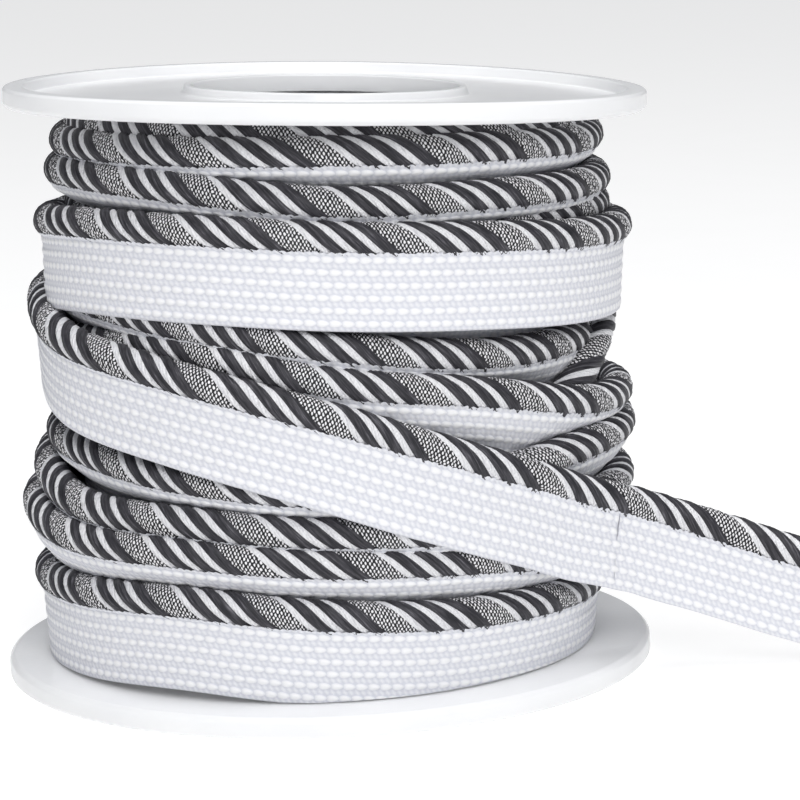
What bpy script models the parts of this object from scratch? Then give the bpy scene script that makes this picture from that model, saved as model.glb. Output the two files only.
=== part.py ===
"""Twisted lip cord wound on a flanged plastic spool, with its loose end leaving at the front right.

The trim is a two-tone twisted cord, 5.2 mm thick, sewn to a flat braided lip, 15 mm wide in all. It is wound
cord up and lip down. The spool stands on its bottom flange and leans a little to the right. The origin is
under the middle of the spool, at the surface it stands on. +Z is up and -Y is the front.

Sizes in the tables are millimetres. Azimuths are degrees from the front, positive to the right.
"""
from collections import namedtuple
from math import cos, pi, radians, sin, sqrt, tan

import bmesh
import bpy
import numpy as np
from mathutils import Vector

MM = 0.001
GAP = 0.3

# The spool
BOTTOM_RADIUS = 49.8
TOP_RADIUS = 48.8
TOP_OFFSET = -0.63
FLANGE_HEIGHT = 3.1
RIM_WIDTH = 3.0
RECESS_DEPTH = 1.7
EDGE_BEVEL = 0.7
HOLE_RADIUS = 20.4
COLLAR_WIDTH = 1.4
COLLAR_DROP = 0.5
BARREL_RADIUS = 22.8
SPOOL_HEIGHT = 89.2
LEAN = radians(2.0)
AXIS_FOOT = -0.73
FLANGE_SEGMENTS = 72
BARREL_SEGMENTS = 48

# The trim
CORD_RADIUS = 2.6
LIP_WIDTH = 10.7
LIP_THICKNESS = 1.0
LIP_OUTSET = 0.7
LIP_TUCK_WIDTH = 3.5
SEAM_BELOW_CENTRE = 2.2

# The wound solid
WINDING_COLUMNS = 64
WINDING_ROWS = 66
WINDING_BORE = BARREL_RADIUS + GAP
UNDER_LAYER_RADIUS = 37.5
SOFTENING = (-0.8, -0.4, 0.0, 0.4, 0.8)

# Each row is one turn: the height of the cord's centre at seven azimuths across the front and at the back
# where the next turn begins, its distance from the spool's axis at the left, front, right and back, and how
# far the lip falls towards the axis below its seam, large where the next turn covers the lip.
HEIGHT_AZIMUTHS = (-90, -60, -30, 0, 30, 60, 90, 180)
REACH_AZIMUTHS = (-90, 0, 90, 180)
Turn = namedtuple("Turn", "left left_60 left_30 front right_30 right_60 right back "
                          "reach_left reach_front reach_right reach_back lip_fall")
LAYER = (
    Turn(84.5, 84.3, 83.9, 83.2, 82.5, 82.0, 81.8, 82.0, 37.6, 37.6, 37.4, 38.6, 4.5),
    Turn(82.1, 82.1, 81.9, 81.7, 80.9, 80.2, 80.1, 78.9, 39.9, 39.9, 39.1, 39.8, 4.5),
    Turn(77.6, 77.8, 76.8, 74.7, 74.3, 73.9, 73.6, 72.8, 40.8, 41.0, 40.1, 39.3, 4.5),
    Turn(72.0, 71.5, 71.0, 70.6, 70.2, 69.9, 69.8, 70.2, 37.8, 37.8, 40.1, 40.6, 4.5),
    Turn(69.8, 71.2, 71.2, 70.0, 68.5, 66.8, 66.0, 63.3, 42.4, 42.9, 43.5, 42.0, 0.3),
    Turn(60.4, 59.6, 57.4, 54.4, 51.5, 50.8, 50.9, 51.3, 40.6, 40.9, 38.8, 40.6, 4.0),
    Turn(52.2, 53.4, 53.8, 49.3, 46.3, 42.1, 41.0, 40.3, 39.2, 41.9, 43.9, 41.5, 4.5),
    Turn(38.0, 37.1, 35.0, 33.4, 34.0, 35.7, 36.1, 35.3, 41.0, 40.9, 44.5, 41.8, 4.5),
    Turn(33.0, 29.5, 28.9, 27.6, 26.6, 27.0, 27.6, 28.6, 43.1, 41.0, 44.5, 43.8, 4.5),
    Turn(26.9, 24.9, 24.6, 23.2, 21.8, 19.0, 18.0, 17.2, 44.9, 41.6, 40.8, 41.3, 4.5),
    Turn(15.8, 16.6, 17.3, 15.5, 13.9, 13.0, 12.6, 12.0, 43.1, 41.6, 40.2, 38.0, 0.8),
)
LAYER_START = (83.4, 36.0)

# The last turn rises at the right from under the layer, passes the back and crosses the front to the loose
# end. Its azimuths run on past the back.
Station = namedtuple("Station", "azimuth height reach")
LAST_TURN = (
    Station(42, 38.5, 36.5),
    Station(55, 42.0, 40.2),
    Station(72, 49.0, 41.3),
    Station(90, 54.0, 41.2),
    Station(180, 57.5, 43.3),
    Station(258, 58.2, 44.6),
    Station(275, 57.0, 43.6),
    Station(300, 54.0, 44.2),
    Station(330, 50.4, 44.0),
    Station(360, 44.5, 44.0),
    Station(376, 40.2, 44.0),
    Station(391, 36.0, 44.0),
    Station(403, 32.6, 44.9),
    Station(411, 30.1, 46.4),
    Station(418, 28.0, 48.8),
)
LAST_LIP_FALL = 0.8
WINDING_END = 417.5

# The loose end's route, along the cord's centre line
LOOSE_ROUTE = (
    (42.6, -25.2, 27.6),
    (45.8, -23.6, 26.4),
    (50.8, -21.8, 24.4),
    (55.8, -20.7, 22.5),
    (60.8, -20.1, 20.6),
    (65.8, -19.8, 18.7),
    (70.8, -19.6, 16.9),
    (75.3, -19.6, 15.4),
    (79.8, -19.7, 14.0),
)
CORD_STEPS = 78
CORD_SIDES = 16
CORD_LOBES = 4
LOBE_DEPTH = 0.28
TWIST_PITCH = 15.0
LIP_STEPS = 40


def clear_scene():
    for item in list(bpy.data.objects):
        bpy.data.objects.remove(item, do_unlink=True)


def material(name, colour, roughness, alpha=1.0):
    made = bpy.data.materials.new(name)
    made.use_nodes = True
    shader = made.node_tree.nodes["Principled BSDF"]
    shader.inputs["Base Color"].default_value = (*colour, 1.0)
    shader.inputs["Roughness"].default_value = roughness
    shader.inputs["Metallic"].default_value = 0.0
    shader.inputs["Alpha"].default_value = alpha
    return made


def add_object(name, points, faces, surface, smooth_angle=40):
    """A named object from points in millimetres, its faces turned outwards."""
    mesh = bpy.data.meshes.new(name)
    mesh.from_pydata([Vector(p) * MM for p in points], [], faces)
    work = bmesh.new()
    work.from_mesh(mesh)
    bmesh.ops.recalc_face_normals(work, faces=work.faces)
    work.to_mesh(mesh)
    work.free()
    mesh.shade_smooth()
    mesh.set_sharp_from_angle(angle=radians(smooth_angle))
    mesh.materials.append(surface)
    made = bpy.data.objects.new(name, mesh)
    bpy.context.collection.objects.link(made)
    return made


def tube_faces(rings, sides, closed_length):
    """Quads between successive rings of points, round again to the first ring if closed_length."""
    last = rings if closed_length else rings - 1
    quads = []
    for i in range(last):
        here, there = i * sides, (i + 1) % rings * sides
        for j in range(sides):
            k = (j + 1) % sides
            quads.append((here + j, here + k, there + k, there + j))
    return quads


def axis_x(z):
    """The spool's axis leans to the right, so that the whole spool is centred on x = 0."""
    return AXIS_FOOT + z * tan(LEAN)


def under_top_flange(x):
    """Height of the top flange's flat underside at x."""
    return SPOOL_HEIGHT - FLANGE_HEIGHT / cos(LEAN) - (x - axis_x(SPOOL_HEIGHT) - TOP_OFFSET) * tan(LEAN)


def flange_profile(outer):
    """Half section of a flange as (radius, height), rim and collar up, from the hole round to the hole."""
    base = -FLANGE_HEIGHT
    floor = -RECESS_DEPTH
    collar = HOLE_RADIUS + COLLAR_WIDTH
    inner_rim = outer - RIM_WIDTH
    return (
        (HOLE_RADIUS, base),
        (outer - EDGE_BEVEL, base),
        (outer, base + EDGE_BEVEL),
        (outer, -EDGE_BEVEL / 2),
        (outer - EDGE_BEVEL / 2, 0.0),
        (inner_rim, 0.0),
        (inner_rim - EDGE_BEVEL / 2, floor),
        (collar, floor),
        (collar - EDGE_BEVEL / 2, -COLLAR_DROP),
        (HOLE_RADIUS, -COLLAR_DROP),
    )


def flange(name, outer, surface):
    profile = flange_profile(outer)
    points = []
    for i in range(FLANGE_SEGMENTS):
        turn = 2 * pi * i / FLANGE_SEGMENTS
        points += [(r * cos(turn), r * sin(turn), z) for r, z in profile]
    return add_object(name, points, tube_faces(FLANGE_SEGMENTS, len(profile), True), surface, 30)


def barrel(surface):
    """The tube between the flanges: level at the bottom and cut to the top flange's lean at the top."""
    points = []
    for i in range(BARREL_SEGMENTS):
        turn = 2 * pi * i / BARREL_SEGMENTS
        for radius, at_top in ((HOLE_RADIUS, 0), (BARREL_RADIUS, 0), (BARREL_RADIUS, 1), (HOLE_RADIUS, 1)):
            z = FLANGE_HEIGHT + GAP
            if at_top:
                z = under_top_flange(axis_x(SPOOL_HEIGHT) + radius * cos(turn)) - GAP
            points.append((axis_x(z) + radius * cos(turn), radius * sin(turn), z))
    return add_object("barrel", points, tube_faces(BARREL_SEGMENTS, 4, True), surface)


def smooth_line(stations, values, at):
    """Smooth interpolation through uneven stations, each slope taken from its neighbours."""
    t = np.asarray(stations, float)
    v = np.asarray(values, float)
    slope = np.gradient(v, t)
    at = np.asarray(at, float)
    i = np.clip(np.searchsorted(t, at) - 1, 0, len(t) - 2)
    span = t[i + 1] - t[i]
    u = (at - t[i]) / span
    u2, u3 = u * u, u * u * u
    return ((2 * u3 - 3 * u2 + 1) * v[i] + (u3 - 2 * u2 + u) * span * slope[i]
            + (3 * u2 - 2 * u3) * v[i + 1] + (u3 - u2) * span * slope[i + 1])


def layer_keys():
    """The layer's turns as one strand: heights and reaches against the running azimuth."""
    heights, reaches = [(-180, LAYER_START[0])], [(-180, LAYER_START[1])]
    for number, turn in enumerate(LAYER):
        heights += [(a + 360 * number, z) for a, z in zip(HEIGHT_AZIMUTHS, turn[:8])]
        reaches += [(a + 360 * number, r) for a, r in zip(REACH_AZIMUTHS, turn[8:12])]
    return heights, reaches


def turns_at(azimuth):
    """Each turn that passes an azimuth: its cord's height and reach and its lip's fall."""
    heights, reaches = layer_keys()
    found = []
    for number, turn in enumerate(LAYER):
        running = azimuth + 360 * number
        found.append((float(smooth_line(*zip(*heights), running)),
                      float(smooth_line(*zip(*reaches), running)), turn.lip_fall))
    for running in (azimuth, azimuth + 360):
        if LAST_TURN[0].azimuth <= running <= WINDING_END:
            stations, height, reach = zip(*LAST_TURN)
            found.append((float(smooth_line(stations, height, running)),
                          float(smooth_line(stations, reach, running)), LAST_LIP_FALL))
    return found


def winding_radius(turns, z):
    """The outermost cord or lip at a height, given the turns at one azimuth."""
    radius = UNDER_LAYER_RADIUS
    for height, reach, fall in turns:
        rise = z - height
        if abs(rise) < CORD_RADIUS:
            radius = max(radius, reach + sqrt(CORD_RADIUS ** 2 - rise ** 2))
        below_seam = -rise - SEAM_BELOW_CENTRE
        if 0 <= below_seam <= LIP_WIDTH:
            tuck = min(1.0, below_seam / LIP_TUCK_WIDTH)
            radius = max(radius, reach + LIP_OUTSET + LIP_THICKNESS / 2 - fall * tuck)
    return radius


def soft_radius(turns, z):
    """The same over a short height, so that edges which run aslant don't step from row to row."""
    return sum(winding_radius(turns, z + rise) for rise in SOFTENING) / len(SOFTENING)


def winding_columns():
    """Evenly spread azimuths, with a close pair where the last turn's ridge ends."""
    step = 360 / WINDING_COLUMNS
    even = [-180 + step * i for i in range(WINDING_COLUMNS)]
    ends = [WINDING_END - 360, WINDING_END - 360 + 0.4]
    return sorted([a for a in even if min(abs(a - e) for e in ends) > step / 3] + ends)


def wound_trim(surface):
    """One closed solid: the wound turns outside, the barrel's bore inside, flat ends against the flanges."""
    low = FLANGE_HEIGHT + GAP
    columns = winding_columns()
    points = []
    for azimuth in columns:
        turns = turns_at(azimuth)
        side, front = sin(radians(azimuth)), -cos(radians(azimuth))
        column = []
        for row in range(WINDING_ROWS + 1):
            share = row / WINDING_ROWS
            radius = UNDER_LAYER_RADIUS
            for _ in range(3):
                high = under_top_flange(axis_x(SPOOL_HEIGHT) + radius * side) - GAP
                z = low + (high - low) * share
                radius = soft_radius(turns, z)
            high = under_top_flange(axis_x(z) + radius * side) - GAP
            z = min(z, high)
            column.append((axis_x(z) + radius * side, radius * front, z))
        bore = WINDING_BORE * side
        high = under_top_flange(axis_x(SPOOL_HEIGHT) + bore) - GAP
        column.append((axis_x(high) + bore, WINDING_BORE * front, high))
        column.append((axis_x(low) + bore, WINDING_BORE * front, low))
        points += column
    return add_object("wound_trim", points, tube_faces(len(columns), WINDING_ROWS + 3, True), surface, 60)


def route_frames(steps):
    """Even places along the loose route, each with its direction, its outward side and its up direction."""
    route = np.array(LOOSE_ROUTE)
    run = np.concatenate([[0.0], np.cumsum(np.linalg.norm(np.diff(route, axis=0), axis=1))])
    places = np.linspace(0.0, run[-1], steps + 1)
    line = np.stack([smooth_line(run, route[:, axis], places) for axis in range(3)], axis=1)
    frames = []
    for place, here, ahead in zip(places, line, np.gradient(line, axis=0)):
        along = Vector(ahead).normalized()
        side = along.cross(Vector((0, 0, 1))).normalized()
        frames.append((place, Vector(here), along, side, side.cross(along)))
    return frames


def loose_cord(surface):
    """The loose end's cord, its plies raised as lobes that turn once in each pitch."""
    points = []
    for place, here, _, side, up in route_frames(CORD_STEPS):
        twist = 2 * pi * place / TWIST_PITCH
        for j in range(CORD_SIDES):
            turn = 2 * pi * j / CORD_SIDES
            lobe = abs(cos(CORD_LOBES / 2 * (turn + twist)))
            radius = CORD_RADIUS - LOBE_DEPTH * (1 - lobe)
            points.append(here + radius * (cos(turn) * side + sin(turn) * up))
    faces = tube_faces(CORD_STEPS + 1, CORD_SIDES, False)
    first = len(points) - CORD_SIDES
    faces.append(tuple(reversed(range(CORD_SIDES))))
    faces.append(tuple(range(first, first + CORD_SIDES)))
    return add_object("loose_cord", points, faces, surface, 60)


def loose_lip(surface):
    """The loose end's lip: a flat tape hanging from the cord, cut straight down at its end."""
    half = LIP_THICKNESS / 2
    points = []
    for _, here, along, side, _ in route_frames(LIP_STEPS):
        down = Vector((0, 0, -1)) / sqrt(1 - along.z ** 2)
        top = here + down * (CORD_RADIUS + GAP)
        foot = here + down * (SEAM_BELOW_CENTRE + LIP_WIDTH)
        middle = (top + foot) / 2
        points += [top - side * half, middle - side * half, foot - side * half,
                   foot + side * half, middle + side * half, top + side * half]
    faces = tube_faces(LIP_STEPS + 1, 6, False)
    first = len(points) - 6
    faces.append(tuple(reversed(range(6))))
    faces.append(tuple(range(first, first + 6)))
    return add_object("loose_lip", points, faces, surface, 30)


def build():
    clear_scene()
    plastic = material("milky_plastic", (0.86, 0.87, 0.88), 0.28)
    cord = material("cord_yarn", (0.16, 0.16, 0.18), 0.55)
    tape = material("braided_lip", (0.86, 0.87, 0.91), 0.75)
    wound = material("wound_trim", (0.55, 0.56, 0.60), 0.7)

    bottom = flange("bottom_flange", BOTTOM_RADIUS, plastic)
    bottom.rotation_euler = (pi, 0, 0)
    bottom.location = (axis_x(0) * MM, 0, 0)
    top = flange("top_flange", TOP_RADIUS, plastic)
    top.rotation_euler = (0, LEAN, 0)
    top.location = ((axis_x(SPOOL_HEIGHT) + TOP_OFFSET) * MM, 0, SPOOL_HEIGHT * MM)
    barrel(plastic)
    wound_trim(wound)
    loose_cord(cord)
    loose_lip(tape)


build()
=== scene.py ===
"""Looks for the twisted lip cord wound on its spool. Lengths in the tables are millimetres, azimuths are
degrees from the front, positive to the right, and a strand's azimuth runs on from turn to turn."""

from collections import namedtuple
from math import cos, pi, radians, sin, sqrt, tan

import bpy
import numpy as np
from mathutils import Matrix, Vector


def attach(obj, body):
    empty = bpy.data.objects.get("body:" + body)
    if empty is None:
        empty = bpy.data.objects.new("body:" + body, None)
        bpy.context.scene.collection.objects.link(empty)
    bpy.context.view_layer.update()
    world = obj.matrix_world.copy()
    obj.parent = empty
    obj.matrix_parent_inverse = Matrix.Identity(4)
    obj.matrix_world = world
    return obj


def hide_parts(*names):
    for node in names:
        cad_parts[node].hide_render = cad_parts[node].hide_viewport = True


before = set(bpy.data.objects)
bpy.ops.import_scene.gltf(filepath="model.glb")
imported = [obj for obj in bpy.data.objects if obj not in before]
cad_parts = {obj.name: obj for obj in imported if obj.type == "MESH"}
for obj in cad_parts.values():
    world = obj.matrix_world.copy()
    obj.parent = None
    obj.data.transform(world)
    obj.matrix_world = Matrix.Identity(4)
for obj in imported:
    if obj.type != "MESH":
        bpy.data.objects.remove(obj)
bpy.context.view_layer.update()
MM = 0.001
GAP = 0.3

# The camera of the photograph, for a 36 mm sensor
FOCAL_LENGTH = 140.9
CAMERA_AT = Vector((-0.73, -476.6, 120.9)) * MM
YAW, PITCH, ROLL = radians(1.458), radians(9.682), radians(-1.996)

# The spool
BOTTOM_RADIUS = 49.8
TOP_RADIUS = 48.7
TOP_OFFSET = -0.63
TOP_BOW = 0.8
TOP_TILT = radians(2.3)
FLANGE_HEIGHT = 3.1
RIM_WIDTH = 3.0
RECESS_DEPTH = 1.7
EDGE_BEVEL = 0.7
HOLE_RADIUS = 20.4
COLLAR_WIDTH = 1.4
COLLAR_DROP = 0.5
BARREL_RADIUS = 22.8
SPOOL_HEIGHT = 89.2
LEAN = radians(2.0)
AXIS_FOOT = -0.73

# The trim
SEAM_BELOW_CENTRE = 2.2
LIP_WIDTH = 10.7
LIP_THICKNESS = 0.9
LIP_OUTSET = 1.25
UNDER_LAYER_RADIUS = 37.6
STEP = 0.34
BRAID_ROW = 1.8
BRAID_PITCH = 1.75
KNOB_SHARE = 0.6

# The plies round the cord, as shares of one repeat, each with how far its crown stands proud
Ply = namedtuple("Ply", "kind start crown samples")
PLIES = (
    Ply("mixed", 0.0, 2.57, (0.1, 0.3, 0.5, 0.7, 0.9)),
    Ply("white", 0.29, 2.5, (0.3, 0.7)),
    Ply("black", 0.375, 2.64, (0.2, 0.5, 0.8)),
    Ply("white", 0.52, 2.5, (0.3, 0.7)),
    Ply("black", 0.615, 2.64, (0.2, 0.5, 0.8)),
    Ply("white", 0.755, 2.5, (0.3, 0.7)),
    Ply("black", 0.845, 2.64, (0.2, 0.5, 0.8)),
)
GROOVE_RADIUS = 2.26
MIXED_CENTRE = 0.395
REPEAT_ANGLE = 22.0

# Each turn: its cord's height at seven azimuths across the front and at the back where the next turn begins,
# its distance from the axis at the left, front, right and back, how far its lip falls towards the axis, and
# the azimuths where the mixed ply crosses the middle of the cord.
HEIGHT_AZIMUTHS = (-90, -60, -30, 0, 30, 60, 90, 180)
REACH_AZIMUTHS = (-90, 0, 90, 180)
Turn = namedtuple("Turn", "heights reaches lip_fall mixed")
LAYER = (
    Turn((84.5, 84.3, 83.9, 83.2, 82.5, 82.0, 81.8, 82.0), (37.6, 37.6, 37.4, 38.6), 4.5,
         (-60, -35, -9, 15.5, 39.5, 62)),
    Turn((82.1, 82.1, 81.9, 81.7, 80.9, 80.2, 80.1, 78.9), (39.9, 39.9, 39.1, 39.8), 4.5,
         (-73.5, -49, -26.5, -2, 22.5, 43.5, 64.5)),
    Turn((77.6, 77.8, 76.8, 74.7, 74.3, 73.9, 73.6, 72.8), (40.8, 41.0, 40.1, 39.3), 4.5,
         (-72, -46, -23.5, 0, 20.5, 42.5, 65)),
    Turn((72.0, 71.5, 71.0, 70.6, 70.2, 69.9, 69.8, 70.2), (37.8, 37.8, 40.1, 40.6), 4.5,
         (-2, 20, 42.5, 66)),
    Turn((69.8, 71.2, 71.2, 70.0, 68.5, 66.8, 66.0, 63.3), (42.4, 42.9, 43.5, 42.0), 0.3,
         (-73.5, -50.5, -29.5, -7.5, 13, 35, 55)),
    Turn((60.4, 59.6, 57.4, 54.4, 51.5, 50.8, 50.9, 51.3), (40.6, 40.9, 38.8, 40.6), 4.0,
         (-52, -31, -12, 11.3, 33.2, 54.5)),
    Turn((52.2, 53.4, 53.8, 49.3, 46.3, 42.1, 41.0, 40.3), (39.2, 41.9, 43.9, 41.5), 4.5,
         (-3.5, 17.5, 38.5, 62)),
    Turn((38.0, 37.1, 35.0, 33.4, 34.0, 35.7, 36.1, 35.3), (41.0, 40.9, 44.5, 41.8), 4.5,
         (-70.5, -48, -25.5, -2.5, 22, 46.5, 66)),
    Turn((33.0, 29.5, 28.9, 27.6, 26.6, 27.0, 27.6, 28.6), (43.1, 41.0, 44.5, 43.8), 4.5,
         (-58, -37, -14.5, 9, 31, 53, 76)),
    Turn((26.9, 24.9, 24.6, 23.2, 21.8, 19.0, 18.0, 17.2), (44.9, 41.6, 40.8, 41.3), 4.5,
         (-60.5, -38, -16, 8, 30.5, 52)),
    Turn((15.8, 16.6, 17.3, 15.5, 13.9, 13.0, 12.6, 12.0), (43.1, 41.6, 40.2, 38.0), 0.8,
         (-73.5, -53.5, -31.5, -10, 10.5, 33, 54)),
)
LAYER_START = (83.4, 36.0)

Station = namedtuple("Station", "azimuth height reach")
LAST_TURN = (
    Station(42, 38.5, 36.5),
    Station(55, 42.0, 40.2),
    Station(72, 49.0, 41.3),
    Station(90, 54.0, 41.2),
    Station(180, 57.5, 43.3),
    Station(258, 58.2, 44.6),
    Station(275, 57.0, 43.6),
    Station(300, 54.0, 44.2),
    Station(330, 50.4, 44.0),
    Station(360, 44.5, 44.0),
    Station(376, 40.2, 44.0),
    Station(391, 36.0, 44.0),
    Station(403, 32.6, 44.9),
    Station(411, 30.1, 46.4),
    Station(418, 28.0, 48.8),
)
LAST_MIXED = (292, 316, 337.5, 359.5, 378.5, 402)
WINDING_END = 417.5

# The loose end's route, along the cord's centre line, and the repeats seen along it
LOOSE_ROUTE = (
    (42.6, -25.2, 27.6),
    (45.8, -23.6, 26.4),
    (50.8, -21.8, 24.4),
    (55.8, -20.7, 22.5),
    (60.8, -20.1, 20.6),
    (65.8, -19.8, 18.7),
    (70.8, -19.6, 16.9),
    (75.3, -19.6, 15.4),
    (79.8, -19.7, 14.0),
)
LOOSE_REPEAT = 17.6


def add_camera():
    ahead = Vector((sin(YAW) * cos(PITCH), cos(YAW) * cos(PITCH), -sin(PITCH)))
    level = Vector((cos(YAW), -sin(YAW), 0))
    upright = level.cross(ahead)
    right = level * cos(ROLL) + upright * sin(ROLL)
    up = upright * cos(ROLL) - level * sin(ROLL)
    data = bpy.data.cameras.new("camera")
    data.sensor_width = 36
    data.lens = FOCAL_LENGTH
    data.clip_end = 20
    made = bpy.data.objects.new("camera", data)
    made.matrix_world = Matrix.Translation(CAMERA_AT) @ Matrix((right, up, -ahead)).transposed().to_4x4()
    bpy.context.collection.objects.link(made)
    bpy.context.scene.camera = made


class Value:
    """A number socket of a node tree that arithmetic can be written with."""

    def __init__(self, tree, socket):
        self.tree, self.socket = tree, socket

    def op(self, kind, *others):
        node = self.tree.nodes.new("ShaderNodeMath")
        node.operation = kind
        for slot, item in zip(node.inputs, (self, *others)):
            if isinstance(item, Value):
                self.tree.links.new(item.socket, slot)
            else:
                slot.default_value = item
        return Value(self.tree, node.outputs[0])

    def __add__(self, other):
        return self.op("ADD", other)

    def __sub__(self, other):
        return self.op("SUBTRACT", other)

    def __mul__(self, other):
        return self.op("MULTIPLY", other)

    def __truediv__(self, other):
        return self.op("DIVIDE", other)


class Surface:
    """A Principled material with short calls for the nodes that the cloth and plastic need."""

    def __init__(self, name, roughness, **constants):
        self.material = bpy.data.materials.new(name)
        self.material.use_nodes = True
        self.tree = self.material.node_tree
        self.shader = self.tree.nodes["Principled BSDF"]
        self.shader.inputs["Roughness"].default_value = roughness
        for socket, value in constants.items():
            self.shader.inputs[socket.replace("_", " ")].default_value = value

    def uv(self):
        node = self.tree.nodes.new("ShaderNodeUVMap")
        node.uv_map = "lay"
        split = self.tree.nodes.new("ShaderNodeSeparateXYZ")
        self.tree.links.new(node.outputs[0], split.inputs[0])
        return Value(self.tree, split.outputs[0]), Value(self.tree, split.outputs[1])

    def place(self, x, y, z=0.0):
        node = self.tree.nodes.new("ShaderNodeCombineXYZ")
        for slot, item in zip(node.inputs, (x, y, z)):
            if isinstance(item, Value):
                self.tree.links.new(item.socket, slot)
            else:
                slot.default_value = item
        return node.outputs[0]

    def noise(self, where, scale, detail=2.0):
        node = self.tree.nodes.new("ShaderNodeTexNoise")
        node.inputs["Scale"].default_value = scale
        node.inputs["Detail"].default_value = detail
        self.tree.links.new(where, node.inputs["Vector"])
        return Value(self.tree, node.outputs["Fac"])

    def spots(self, where, randomness):
        node = self.tree.nodes.new("ShaderNodeTexVoronoi")
        node.voronoi_dimensions = "2D"
        node.inputs["Scale"].default_value = 1.0
        node.inputs["Randomness"].default_value = randomness
        self.tree.links.new(where, node.inputs["Vector"])
        return Value(self.tree, node.outputs["Distance"])

    def ramp(self, value, stops, smooth=True):
        node = self.tree.nodes.new("ShaderNodeValToRGB")
        node.color_ramp.interpolation = "LINEAR" if smooth else "CONSTANT"
        points = node.color_ramp.elements
        while len(points) < len(stops):
            points.new(0.5)
        for point, (at, colour) in zip(points, stops):
            point.position = at
            point.color = (*colour, 1.0) if hasattr(colour, "__len__") else (colour, colour, colour, 1.0)
        self.tree.links.new(value.socket, node.inputs[0])
        return node.outputs[0]

    def mix(self, share, low, high):
        node = self.tree.nodes.new("ShaderNodeMix")
        node.data_type = "RGBA"
        if isinstance(share, Value):
            share = share.socket
        self.tree.links.new(share, node.inputs["Factor"])
        for slot, item in ((node.inputs[6], low), (node.inputs[7], high)):
            if hasattr(item, "node"):
                self.tree.links.new(item, slot)
            else:
                slot.default_value = (*item, 1.0)
        return node.outputs[2]

    def colour(self, socket):
        self.tree.links.new(socket, self.shader.inputs["Base Color"])

    def bump(self, height, distance, strength=1.0):
        node = self.tree.nodes.new("ShaderNodeBump")
        node.inputs["Distance"].default_value = distance * MM
        node.inputs["Strength"].default_value = strength
        self.tree.links.new(height.socket, node.inputs["Height"])
        self.tree.links.new(node.outputs[0], self.shader.inputs["Normal"])


def cord_surface():
    """Charcoal plies of fine lengthwise fibres, white gimps, and a mixed ply knitted in ribs of ovals."""
    made = Surface("cord_yarn", 0.55, Sheen_Weight=0.06, Sheen_Roughness=0.4, Specular_IOR_Level=0.35)
    across, along = made.uv()
    run = along * 22.2
    width = across * 11.0
    strand = made.noise(made.place(width * 3.4, run * 0.22), 1.0, 1.0)
    fibre = made.noise(made.place(width * 9.0, run * 0.8), 1.0, 2.0)
    shade = strand * 0.62 + fibre * 0.38
    black = made.ramp(shade, ((0.3, (0.007, 0.007, 0.01)), (0.47, (0.026, 0.025, 0.031)),
                              (0.58, (0.055, 0.053, 0.062)), (0.72, (0.15, 0.145, 0.165))))
    white = made.ramp(shade, ((0.25, (0.66, 0.65, 0.70)), (0.5, (0.86, 0.86, 0.88))))
    drift = made.noise(made.place(along * 30.0, across * 14.0), 1.0, 1.0) - 0.5
    rib = along * 7.4 + across * 8.7 + drift * 0.25
    knit = along * 34.0 - across * 23.0 + drift * 0.6
    column = rib * 2.0
    u = column.op("FRACT") - 0.5
    v = (knit + column.op("FLOOR").op("MODULO", 2.0) * 0.5 + u * 0.55).op("FRACT") - 0.5
    line = ((rib.op("FRACT") - 0.5).op("ABSOLUTE") - 0.36).op("MAXIMUM", 0.0)
    speck = made.noise(made.place(along * 60.0, across * 40.0), 1.0, 1.0) - 0.5
    oval = u * u * -4.2 - v * v * 4.4 - line * 5.0 + speck * 0.7 + 1.0
    mixed = made.ramp(oval * 0.5 + 0.2, ((0.38, (0.012, 0.012, 0.015)), (0.5, (0.88, 0.87, 0.89))))
    kinds = [(ply.start, {"mixed": 0.5, "white": 1.0, "black": 0.0}[ply.kind]) for ply in PLIES]
    kind = made.ramp(across, kinds, smooth=False)
    is_white = made.ramp(Value(made.tree, kind), ((0.0, 0.0), (0.8, 1.0)), smooth=False)
    is_mixed = made.ramp(Value(made.tree, kind), ((0.0, 0.0), (0.3, 1.0)), smooth=False)
    made.colour(made.mix(is_white, made.mix(is_mixed, black, mixed), white))
    made.bump(shade + Value(made.tree, is_mixed) * (oval * 0.6), 0.14, 0.8)
    return made.material


def lip_surface():
    """White flat braid: rows of plump drops with flat rows of finer slanted threads between them. Its colour
    carries painted shade, bluish grey where the braid is low.
    """
    made = Surface("braided_lip", 0.65, Sheen_Weight=0.05, Specular_IOR_Level=0.3)
    across, along = made.uv()
    rows = across / BRAID_ROW
    row = rows.op("FLOOR")
    t = rows - row
    v = t - KNOB_SHARE / 2
    u = (along / BRAID_PITCH + row.op("MODULO", 2.0) * 0.35 + v.op("ABSOLUTE") * 0.5).op("FRACT") - 0.5
    knob = (v * v * -10.0 - u * u * 3.4 + 1.0).op("MAXIMUM", 0.0)
    w = (t - (1 + KNOB_SHARE) / 2).op("ABSOLUTE")
    ply = ((along * 2.0 / BRAID_PITCH - t * 0.9).op("FRACT") - 0.5).op("ABSOLUTE")
    between = (ply * -1.4 - w * 2.2 + 0.9).op("MAXIMUM", 0.0) * 0.45
    thread = made.noise(made.place(along * 2.6 + t * 2.0, across * 3.4), 2.0, 2.0)
    height = knob.op("MAXIMUM", between) + thread * 0.22
    # Colour from the braid's height: painted shade, bluish grey, in the crevices between the drops and
    # threads, near white on the drops; the thread noise in the height adds the braid's own uneven tone.
    light = made.ramp(height, ((0.1, (0.68, 0.69, 0.75)), (0.45, (0.83, 0.835, 0.87)),
                               (0.9, (0.93, 0.93, 0.94))))
    made.colour(light)
    made.bump(height, 0.2, 0.6)
    return made.material


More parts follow.
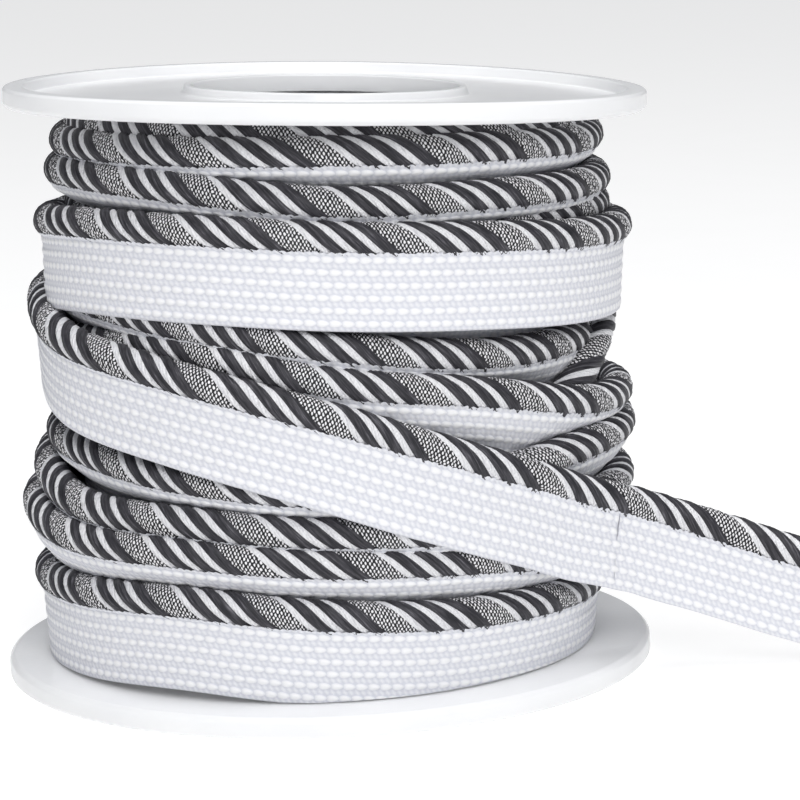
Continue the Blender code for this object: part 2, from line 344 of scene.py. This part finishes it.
def plastic_surface():
    """Milky moulded plastic that lets some light in, with fine grain and faint clouds."""
    made = Surface("milky_plastic", 0.25, Subsurface_Weight=0.4, Subsurface_Scale=0.006, IOR=1.46,
                   Specular_IOR_Level=0.4)
    made.shader.inputs["Subsurface Radius"].default_value = (1.0, 1.0, 1.0)
    where = made.tree.nodes.new("ShaderNodeTexCoord").outputs["Object"]
    cloud = made.noise(where, 60.0, 2.0)
    made.colour(made.ramp(cloud, ((0.3, (0.86, 0.865, 0.88)), (0.7, (0.91, 0.915, 0.92)))))
    grain = made.noise(where, 900.0, 2.0)
    made.bump(grain + cloud * 2.0, 0.05, 0.25)
    return made.material


def add_mesh(name, points, faces, uvs, surface, smooth_angle=None):
    """A mesh from points in millimetres and quads, turned outwards, with its texture places per corner."""
    corners = np.asarray(points, float)
    quads = np.asarray(faces)
    tri = np.concatenate([quads[:, [0, 1, 2]], quads[:, [0, 2, 3]]])
    a, b, c = (corners[tri[:, k]] for k in range(3))
    if np.einsum("ij,ij->i", a, np.cross(b, c)).sum() < 0:
        quads = quads[:, ::-1]
        uvs = uvs[:, ::-1]
    mesh = bpy.data.meshes.new(name)
    mesh.vertices.add(len(corners))
    mesh.vertices.foreach_set("co", (corners * MM).ravel())
    mesh.loops.add(quads.size)
    mesh.loops.foreach_set("vertex_index", quads.ravel().astype(np.int32))
    mesh.polygons.add(len(quads))
    mesh.polygons.foreach_set("loop_start", np.arange(0, quads.size, 4, dtype=np.int32))
    mesh.update(calc_edges=True)
    mesh.uv_layers.new(name="lay").data.foreach_set("uv", np.asarray(uvs, float).ravel())
    mesh.shade_smooth()
    if smooth_angle:
        mesh.set_sharp_from_angle(angle=radians(smooth_angle))
    mesh.materials.append(surface)
    made = bpy.data.objects.new(name, mesh)
    bpy.context.collection.objects.link(made)
    return made


def sweep(name, rings, across, along, surface, looped=False, smooth_angle=None):
    """Quads between successive rings of points. A sweep that isn't looped is closed by a drawn-in ring at
    each end. across is the texture place round a ring, one more than its points, and along is per ring."""
    rings = np.asarray(rings, float)
    along = np.asarray(along, float)
    across = np.broadcast_to(across, (len(rings), rings.shape[1] + 1))
    if not looped:
        middles = rings[[0, -1]].mean(axis=1, keepdims=True)
        ends = middles + (rings[[0, -1]] - middles) * 0.001
        rings = np.concatenate([ends[:1], rings, ends[1:]])
        along = np.concatenate([along[:1], along, along[-1:]])
        across = np.concatenate([across[:1], across, across[-1:]])
    count, sides = rings.shape[:2]
    i, j = np.meshgrid(np.arange(count if looped else count - 1), np.arange(sides), indexing="ij")
    i, j = i.ravel(), j.ravel()
    following, k = (i + 1) % count, (j + 1) % sides
    quads = np.stack([i * sides + j, i * sides + k, following * sides + k, following * sides + j], axis=1)
    ahead = along[(i + 1) % count] if not looped else along[i] + (along[1] - along[0])
    u = np.stack([across[i, j], across[i, j + 1], across[following, j + 1], across[following, j]], axis=1)
    v = np.stack([along[i], along[i], ahead, ahead], axis=1)
    uvs = np.stack([u, v], axis=2)
    return add_mesh(name, rings.reshape(-1, 3), quads, uvs, surface, smooth_angle)


def axis_x(z):
    """The spool's axis leans to the right, so that the whole spool is centred on x = 0."""
    return AXIS_FOOT + z * tan(LEAN)


def under_top_flange(x):
    """Height of the top flange's flat underside at x."""
    return SPOOL_HEIGHT - FLANGE_HEIGHT / cos(LEAN) - (x - axis_x(SPOOL_HEIGHT) - TOP_OFFSET) * tan(LEAN)


def smooth_line(stations, values, at):
    """Smooth interpolation through uneven stations, each slope taken from its neighbours."""
    t = np.asarray(stations, float)
    v = np.asarray(values, float)
    slope = np.gradient(v, t)
    at = np.asarray(at, float)
    i = np.clip(np.searchsorted(t, at) - 1, 0, len(t) - 2)
    span = t[i + 1] - t[i]
    u = (at - t[i]) / span
    u2, u3 = u * u, u * u * u
    return ((2 * u3 - 3 * u2 + 1) * v[i] + (u3 - 2 * u2 + u) * span * slope[i]
            + (3 * u2 - 2 * u3) * v[i + 1] + (u3 - u2) * span * slope[i + 1])


def wander(at, seed, size):
    """A slow small unevenness, as hand-fed winding has."""
    at = np.radians(at)
    waves = ((1.7, seed, 1.0), (4.3, 2.1 * seed, 0.6), (9.1, seed, 0.35))
    return size * sum(np.sin(at * rate + phase) * share for rate, phase, share in waves)


def polar_points(azimuth, height, reach):
    turn = np.radians(azimuth)
    return np.stack([axis_x(height) + reach * np.sin(turn), -reach * np.cos(turn), height], axis=1)


def even_places(points):
    """The same line at even steps, with where each place lies between the first points."""
    run = np.concatenate([[0.0], np.cumsum(np.linalg.norm(np.diff(points, axis=0), axis=1))])
    places = np.linspace(0.0, run[-1], int(round(run[-1] / STEP)) + 1)
    share = np.interp(places, run, np.arange(len(run)))
    return np.stack([np.interp(places, run, points[:, k]) for k in range(3)], axis=1), places, share


class Strand:
    """A run of the trim: its cord's line, the directions across it, its repeats and its lip."""

    def __init__(self, points, azimuth, repeats, fall, room):
        self.line, self.run, share = even_places(points)
        index = np.arange(len(points))
        self.azimuth, self.repeats, self.fall, self.room = (
            np.interp(share, index, item) for item in (azimuth, repeats, fall, room))
        ahead = np.gradient(self.line, axis=0)
        self.ahead = ahead / np.linalg.norm(ahead, axis=1, keepdims=True)
        out = np.cross(self.ahead, (0.0, 0.0, 1.0))
        self.steepness = np.linalg.norm(out, axis=1)
        self.out = out / self.steepness[:, None]
        self.up = np.cross(self.out, self.ahead)

    def places(self, first, last):
        """Indices of the places between two azimuths, one past each end."""
        picked = np.nonzero((self.azimuth >= first) & (self.azimuth <= last))[0]
        return np.arange(max(picked[0] - 1, 0), min(picked[-1] + 2, len(self.azimuth)))

    def cord(self, name, at, surface):
        """The twisted cord, its plies following the twist so that each keeps its own crown and grooves."""
        shares, radii = ply_profile()
        at = at[::2] if at[-1] == at[::2][-1] else np.append(at[::2], at[-1])
        turn = 2 * pi * (self.repeats[at, None] - shares[None, :-1])
        uneven = 1 + 0.012 * np.sin(self.run[at, None] * 2.1 + shares[None, :-1] * 40)
        size = (radii * uneven)[:, :, None]
        rings = (self.line[at, None] + size * (np.cos(turn)[:, :, None] * self.up[at, None]
                                               + np.sin(turn)[:, :, None] * self.out[at, None]))
        return sweep(name, rings, shares, self.repeats[at], surface, smooth_angle=75)

    def lip(self, name, at, surface, floor=-1e3):
        """The braided lip, sewn over the cord's lower side and running down and in as far as it shows."""
        width = np.minimum(LIP_WIDTH, np.where(self.fall[at] > 2, self.room[at] + 3.0, LIP_WIDTH))
        run = self.run[at]
        edge = 0.35 + 0.28 * np.abs(np.sin(pi * run / 1.07)) + 0.1 * np.sin(run * 1.9) * np.sin(run * 0.73)
        samples = np.linspace(0, 1, 38 if width.max() > 9 else 24)[None, :]
        across = -edge[:, None] + (width + edge)[:, None] * samples
        drop = np.clip(across / self.room[at, None], 0, 1)
        eased = np.where(self.fall[at, None] > 2, drop * drop * (3 - 2 * drop), drop)
        out = LIP_OUTSET - self.fall[at, None] * eased
        over = np.sqrt(np.clip(2.56 ** 2 - (SEAM_BELOW_CENTRE + np.minimum(across, 0)) ** 2, 0, None))
        out = np.where(across < 0, over + 0.04, np.minimum(out, LIP_OUTSET) + 0.12 * np.exp(-across / 0.5))
        out = out + 0.2 * braid_relief(run[:, None], across) * np.clip(across + 0.6, 0, 1)
        hem = np.clip((across - (width - 0.5)[:, None]) / 0.5, 0, 1)
        out = out - 0.3 * hem ** 2
        down = (SEAM_BELOW_CENTRE + across) / self.steepness[at, None]
        behind_seam = np.full_like(out[:, :1], LIP_OUTSET - 1.2)
        reaches = [out, out[:, -1:] - LIP_THICKNESS + 0.3, out[:, 20:21] - LIP_THICKNESS, behind_seam]
        downs = [down, down[:, -1:] - 0.1, down[:, 20:21], down[:, 2:3]]
        out, down = np.concatenate(reaches, axis=1), np.concatenate(downs, axis=1)
        rings = self.line[at, None] + out[:, :, None] * self.out[at, None]
        rings[:, :, 2] -= down
        rings[:, :, 0] -= down * tan(LEAN)
        rings[:, :, 2] = np.maximum(rings[:, :, 2], floor + 0.02 * np.arange(rings.shape[1])[None, ::-1])
        across = np.concatenate([across, across[:, [-1, 20, 2, 0]]], axis=1)
        return sweep(name, rings, across, run, surface, smooth_angle=75)


def ply_profile():
    """Shares of the repeat round the cord and the radius at each: a groove between plies, a crown in each."""
    shares, radii = [], []
    for ply, after in zip(PLIES, (*[p.start for p in PLIES[1:]], 1.0)):
        shares.append(ply.start)
        radii.append(GROOVE_RADIUS)
        for place in ply.samples:
            shares.append(ply.start + (after - ply.start) * place)
            radii.append(GROOVE_RADIUS + (ply.crown - GROOVE_RADIUS) * sqrt(1 - abs(2 * place - 1) ** 2.5))
    return np.array([*shares, 1.0]), np.array(radii)


def braid_relief(along, across):
    """Height from 0 to 1 of the lip's drops and of the threads between their rows, at millimetres along and
    across it."""
    row = np.floor(across / BRAID_ROW)
    t = across / BRAID_ROW - row
    v = t - KNOB_SHARE / 2
    u = (along / BRAID_PITCH + 0.35 * (row % 2) + 0.5 * np.abs(v)) % 1.0 - 0.5
    knob = np.clip(1 - 10.0 * v * v - 3.4 * u * u, 0, 1)
    between = 0.3 * np.clip(1 - np.abs(t - (1 + KNOB_SHARE) / 2) / 0.2, 0, 1)
    return np.maximum(np.sqrt(knob), between)


def layer_strand():
    """The layer's turns as one strand, its repeats passing through each crossing of the mixed ply."""
    heights, reaches, falls = [(-180, LAYER_START[0])], [(-180, LAYER_START[1])], []
    crossings, count = [], 0
    for number, turn in enumerate(LAYER):
        offset = 360 * number
        heights += [(a + offset, z) for a, z in zip(HEIGHT_AZIMUTHS, turn.heights)]
        reaches += [(a + offset, r) for a, r in zip(REACH_AZIMUTHS, turn.reaches)]
        falls += [(-100 + offset, turn.lip_fall), (100 + offset, turn.lip_fall)]
        for azimuth in turn.mixed:
            if crossings:
                count += max(1, round((azimuth + offset - crossings[-1][0]) / REPEAT_ANGLE))
            crossings.append((azimuth + offset, count + MIXED_CENTRE))
    at = np.arange(-180, 360 * len(LAYER) - 180 + 0.1, 1.0)
    height = smooth_line(*zip(*heights), at) + wander(at, 1.3, 0.06)
    reach = smooth_line(*zip(*reaches), at) + wander(at, 4.1, 0.05)
    below = np.append(height[360:], np.full(360, -20.0))
    return Strand(polar_points(at, height, reach), at, repeats_at(crossings, at), np.interp(at, *zip(*falls)),
                  np.clip(height - below - SEAM_BELOW_CENTRE, 3.5, 9.0))


def repeats_at(crossings, at):
    """Repeats run through the crossings, and on at their usual angle past the first and the last."""
    (first, start), (last, end) = crossings[0], crossings[-1]
    stations = [(first - 720, start - 720 / REPEAT_ANGLE), *crossings, (last + 720, end + 720 / REPEAT_ANGLE)]
    return np.interp(at, *zip(*stations))


def last_strand():
    """The last turn from where it rises at the right, over the front and on along the loose end."""
    stations, heights, reaches = zip(*LAST_TURN)
    at = np.arange(stations[0], WINDING_END + 0.1, 1.0)
    wound = polar_points(at, smooth_line(stations, heights, at), smooth_line(stations, reaches, at))
    route = np.array(LOOSE_ROUTE)
    knots = np.arange(len(route))
    fine = np.arange(0, len(route) - 0.95, 0.1)
    loose = np.stack([smooth_line(knots, route[:, k], fine) for k in range(3)], axis=1)
    points = np.concatenate([wound, loose])
    run = np.concatenate([[0.0], np.cumsum(np.linalg.norm(np.diff(points, axis=0), axis=1))])
    azimuth = np.concatenate([at, WINDING_END + 1 + fine])
    crossings = [(a, i + MIXED_CENTRE) for i, a in enumerate(LAST_MIXED)]
    repeats = repeats_at(crossings, azimuth)
    past = azimuth > LAST_MIXED[-1]
    start = np.nonzero(past)[0][0] - 1
    repeats[past] = repeats[start] + (run[past] - run[start]) / LOOSE_REPEAT
    fall = np.interp(azimuth, (42, 150, 230, 420), (4.5, 4.5, 0.8, 0.8))
    room = np.interp(azimuth, (42, 150, 230, 420), (5.0, 5.0, 9.0, 9.0))
    return Strand(points, azimuth, repeats, fall, room)


def revolve(name, profile, surface, segments=180):
    """A turned piece from (radius, height) pairs that close on themselves."""
    turn = np.linspace(0, 2 * pi, segments, endpoint=False)
    radii, heights = np.array(profile, float).T
    rings = np.stack([radii[None] * np.cos(turn)[:, None], radii[None] * np.sin(turn)[:, None],
                      np.broadcast_to(heights, (segments, len(radii)))], axis=2)
    return sweep(name, rings, np.arange(len(profile) + 1), turn, surface, looped=True, smooth_angle=30)


def rounded(profile, radius):
    """The same closed profile with each corner cut by a small fillet."""
    made = []
    count = len(profile)
    for i, corner in enumerate(profile):
        corner = Vector(corner)
        before = Vector(profile[i - 1]) - corner
        after = Vector(profile[(i + 1) % count]) - corner
        reach = min(radius, before.length * 0.4, after.length * 0.4)
        start, end = corner + before.normalized() * reach, corner + after.normalized() * reach
        for share in (0.0, 0.33, 0.67, 1.0):
            made.append(tuple(start.lerp(corner, share).lerp(corner.lerp(end, share), share)))
    return made


def add_flange(name, node, outer, surface):
    """A moulded disc with a rim, a shallow recess and a low collar round the hole, rim and collar up."""
    base, floor = -FLANGE_HEIGHT, -RECESS_DEPTH
    collar = HOLE_RADIUS + COLLAR_WIDTH
    inner_rim = outer - RIM_WIDTH
    profile = (
        (HOLE_RADIUS, base),
        (outer - EDGE_BEVEL, base),
        (outer, base + EDGE_BEVEL),
        (outer, -EDGE_BEVEL / 2),
        (outer - EDGE_BEVEL / 2, 0.0),
        (inner_rim, 0.0),
        (inner_rim - EDGE_BEVEL / 2, floor),
        (collar, floor),
        (collar - EDGE_BEVEL / 2, -COLLAR_DROP),
        (HOLE_RADIUS, -COLLAR_DROP),
    )
    made = revolve(name, rounded(profile, 0.3), surface)
    place = {"bottom_flange": Matrix.Translation((axis_x(0) * MM, 0, 0)) @ Matrix.Rotation(pi, 4, "X"),
             "top_flange": Matrix.Translation(((axis_x(SPOOL_HEIGHT) + TOP_OFFSET) * MM, 0,
                                               SPOOL_HEIGHT * MM)) @ Matrix.Rotation(TOP_TILT, 4, "Y")}[node]
    if node == "top_flange":
        for vertex in made.data.vertices:
            vertex.co.z -= TOP_BOW * MM * (vertex.co.x / (outer * MM)) ** 2
    made.matrix_world = place
    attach(made, "root")
    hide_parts(node)


def add_under_layer(surface):
    """The inner layers of the winding, seen only between the turns."""
    low = FLANGE_HEIGHT + GAP
    rings = []
    azimuths = np.arange(0, 360, 3.0)
    for azimuth in np.radians(azimuths):
        side, front = sin(azimuth), -cos(azimuth)
        high = under_top_flange(axis_x(SPOOL_HEIGHT) + UNDER_LAYER_RADIUS * side) - GAP
        column = [(UNDER_LAYER_RADIUS + 0.25 * sin(k * 2.2), low + (high - low) * k / 60) for k in range(61)]
        bore_high = under_top_flange(axis_x(SPOOL_HEIGHT) + (BARREL_RADIUS + GAP) * side) - GAP
        column += [(BARREL_RADIUS + GAP, bore_high), (BARREL_RADIUS + GAP, low)]
        rings.append([(axis_x(z) + r * side, r * front, z) for r, z in column])
    across = np.append(np.linspace(0, 83, 61), (84, 85, 86))
    made = sweep("under_layer", rings, across, np.radians(azimuths) * UNDER_LAYER_RADIUS, surface,
                 looped=True, smooth_angle=50)
    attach(made, "root")
    return made


def add_trim(cord, lip):
    """Every wound turn, the last turn and the loose end."""
    layer, last = layer_strand(), last_strand()
    wound = []
    for number in range(len(LAYER)):
        at = layer.places(360 * number - 180, 360 * number + 180)
        wound.append(layer.cord(f"cord_turn_{number + 1}", at, cord))
        floor = FLANGE_HEIGHT + 0.1 if number == len(LAYER) - 1 else -1e3
        wound.append(layer.lip(f"lip_turn_{number + 1}", at, lip, floor))
    at = last.places(0, WINDING_END)
    wound.append(last.cord("cord_turn_last", at, cord))
    half = len(at) // 2
    wound.append(last.lip("lip_turn_last_a", at[:half + 1], lip))
    wound.append(last.lip("lip_turn_last_b", at[half:], lip))
    for piece in wound:
        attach(piece, "root")
    at = np.arange(at[-1], len(last.line))
    loose_cord = last.cord("loose_twisted_cord", at, cord)
    loose_lip = last.lip("loose_braided_lip", at, lip)
    for piece in (loose_cord, loose_lip):
        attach(piece, "root")
    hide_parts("loose_cord")
    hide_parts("loose_lip")


def add_light(name, at, size, power, tint=(1, 1, 1)):
    data = bpy.data.lights.new(name, "AREA")
    data.size = size
    data.energy = power
    data.color = tint
    made = bpy.data.objects.new(name, data)
    made.location = at
    made.rotation_euler = (Vector((0, 0, 0.045)) - Vector(at)).to_track_quat("-Z", "Y").to_euler()
    bpy.context.collection.objects.link(made)


def add_studio():
    """A plain white floor under a key light from the front and a soft light from above."""
    bpy.ops.mesh.primitive_plane_add(size=12, location=(0, 2, 0))
    floor = bpy.context.object
    floor.name = "floor"
    made = Surface("floor_paper", 0.9, Emission_Strength=0.7)
    made.shader.inputs["Emission Color"].default_value = (1, 1, 1, 1)
    tone = made.noise(made.tree.nodes.new("ShaderNodeTexCoord").outputs["Object"], 40.0, 1.0)
    made.colour(made.ramp(tone, ((0.0, (0.39, 0.39, 0.39)), (1.0, (0.42, 0.42, 0.42)))))
    floor.data.materials.append(made.material)
    world = bpy.data.worlds.new("studio")
    world.use_nodes = True
    world.node_tree.nodes["Background"].inputs[0].default_value = (0.9, 0.93, 1.0, 1)
    world.node_tree.nodes["Background"].inputs[1].default_value = 0.2
    bpy.context.scene.world = world
    add_light("key", (0.15, -1.05, 0.78), 0.5, 7.5)
    add_light("overhead", (0.0, -0.15, 1.15), 0.9, 9.0)
    bpy.context.scene.view_settings.view_transform = "Standard"


add_camera()
cord_yarn, braid, plastic = cord_surface(), lip_surface(), plastic_surface()
add_trim(cord_yarn, braid)
under = add_under_layer(braid)
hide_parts("wound_trim")
add_flange("spool_base", "bottom_flange", BOTTOM_RADIUS, plastic)
add_flange("spool_top", "top_flange", TOP_RADIUS, plastic)
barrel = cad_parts["barrel"]
for material_slot in barrel.material_slots:
    material_slot.material = plastic
add_studio()
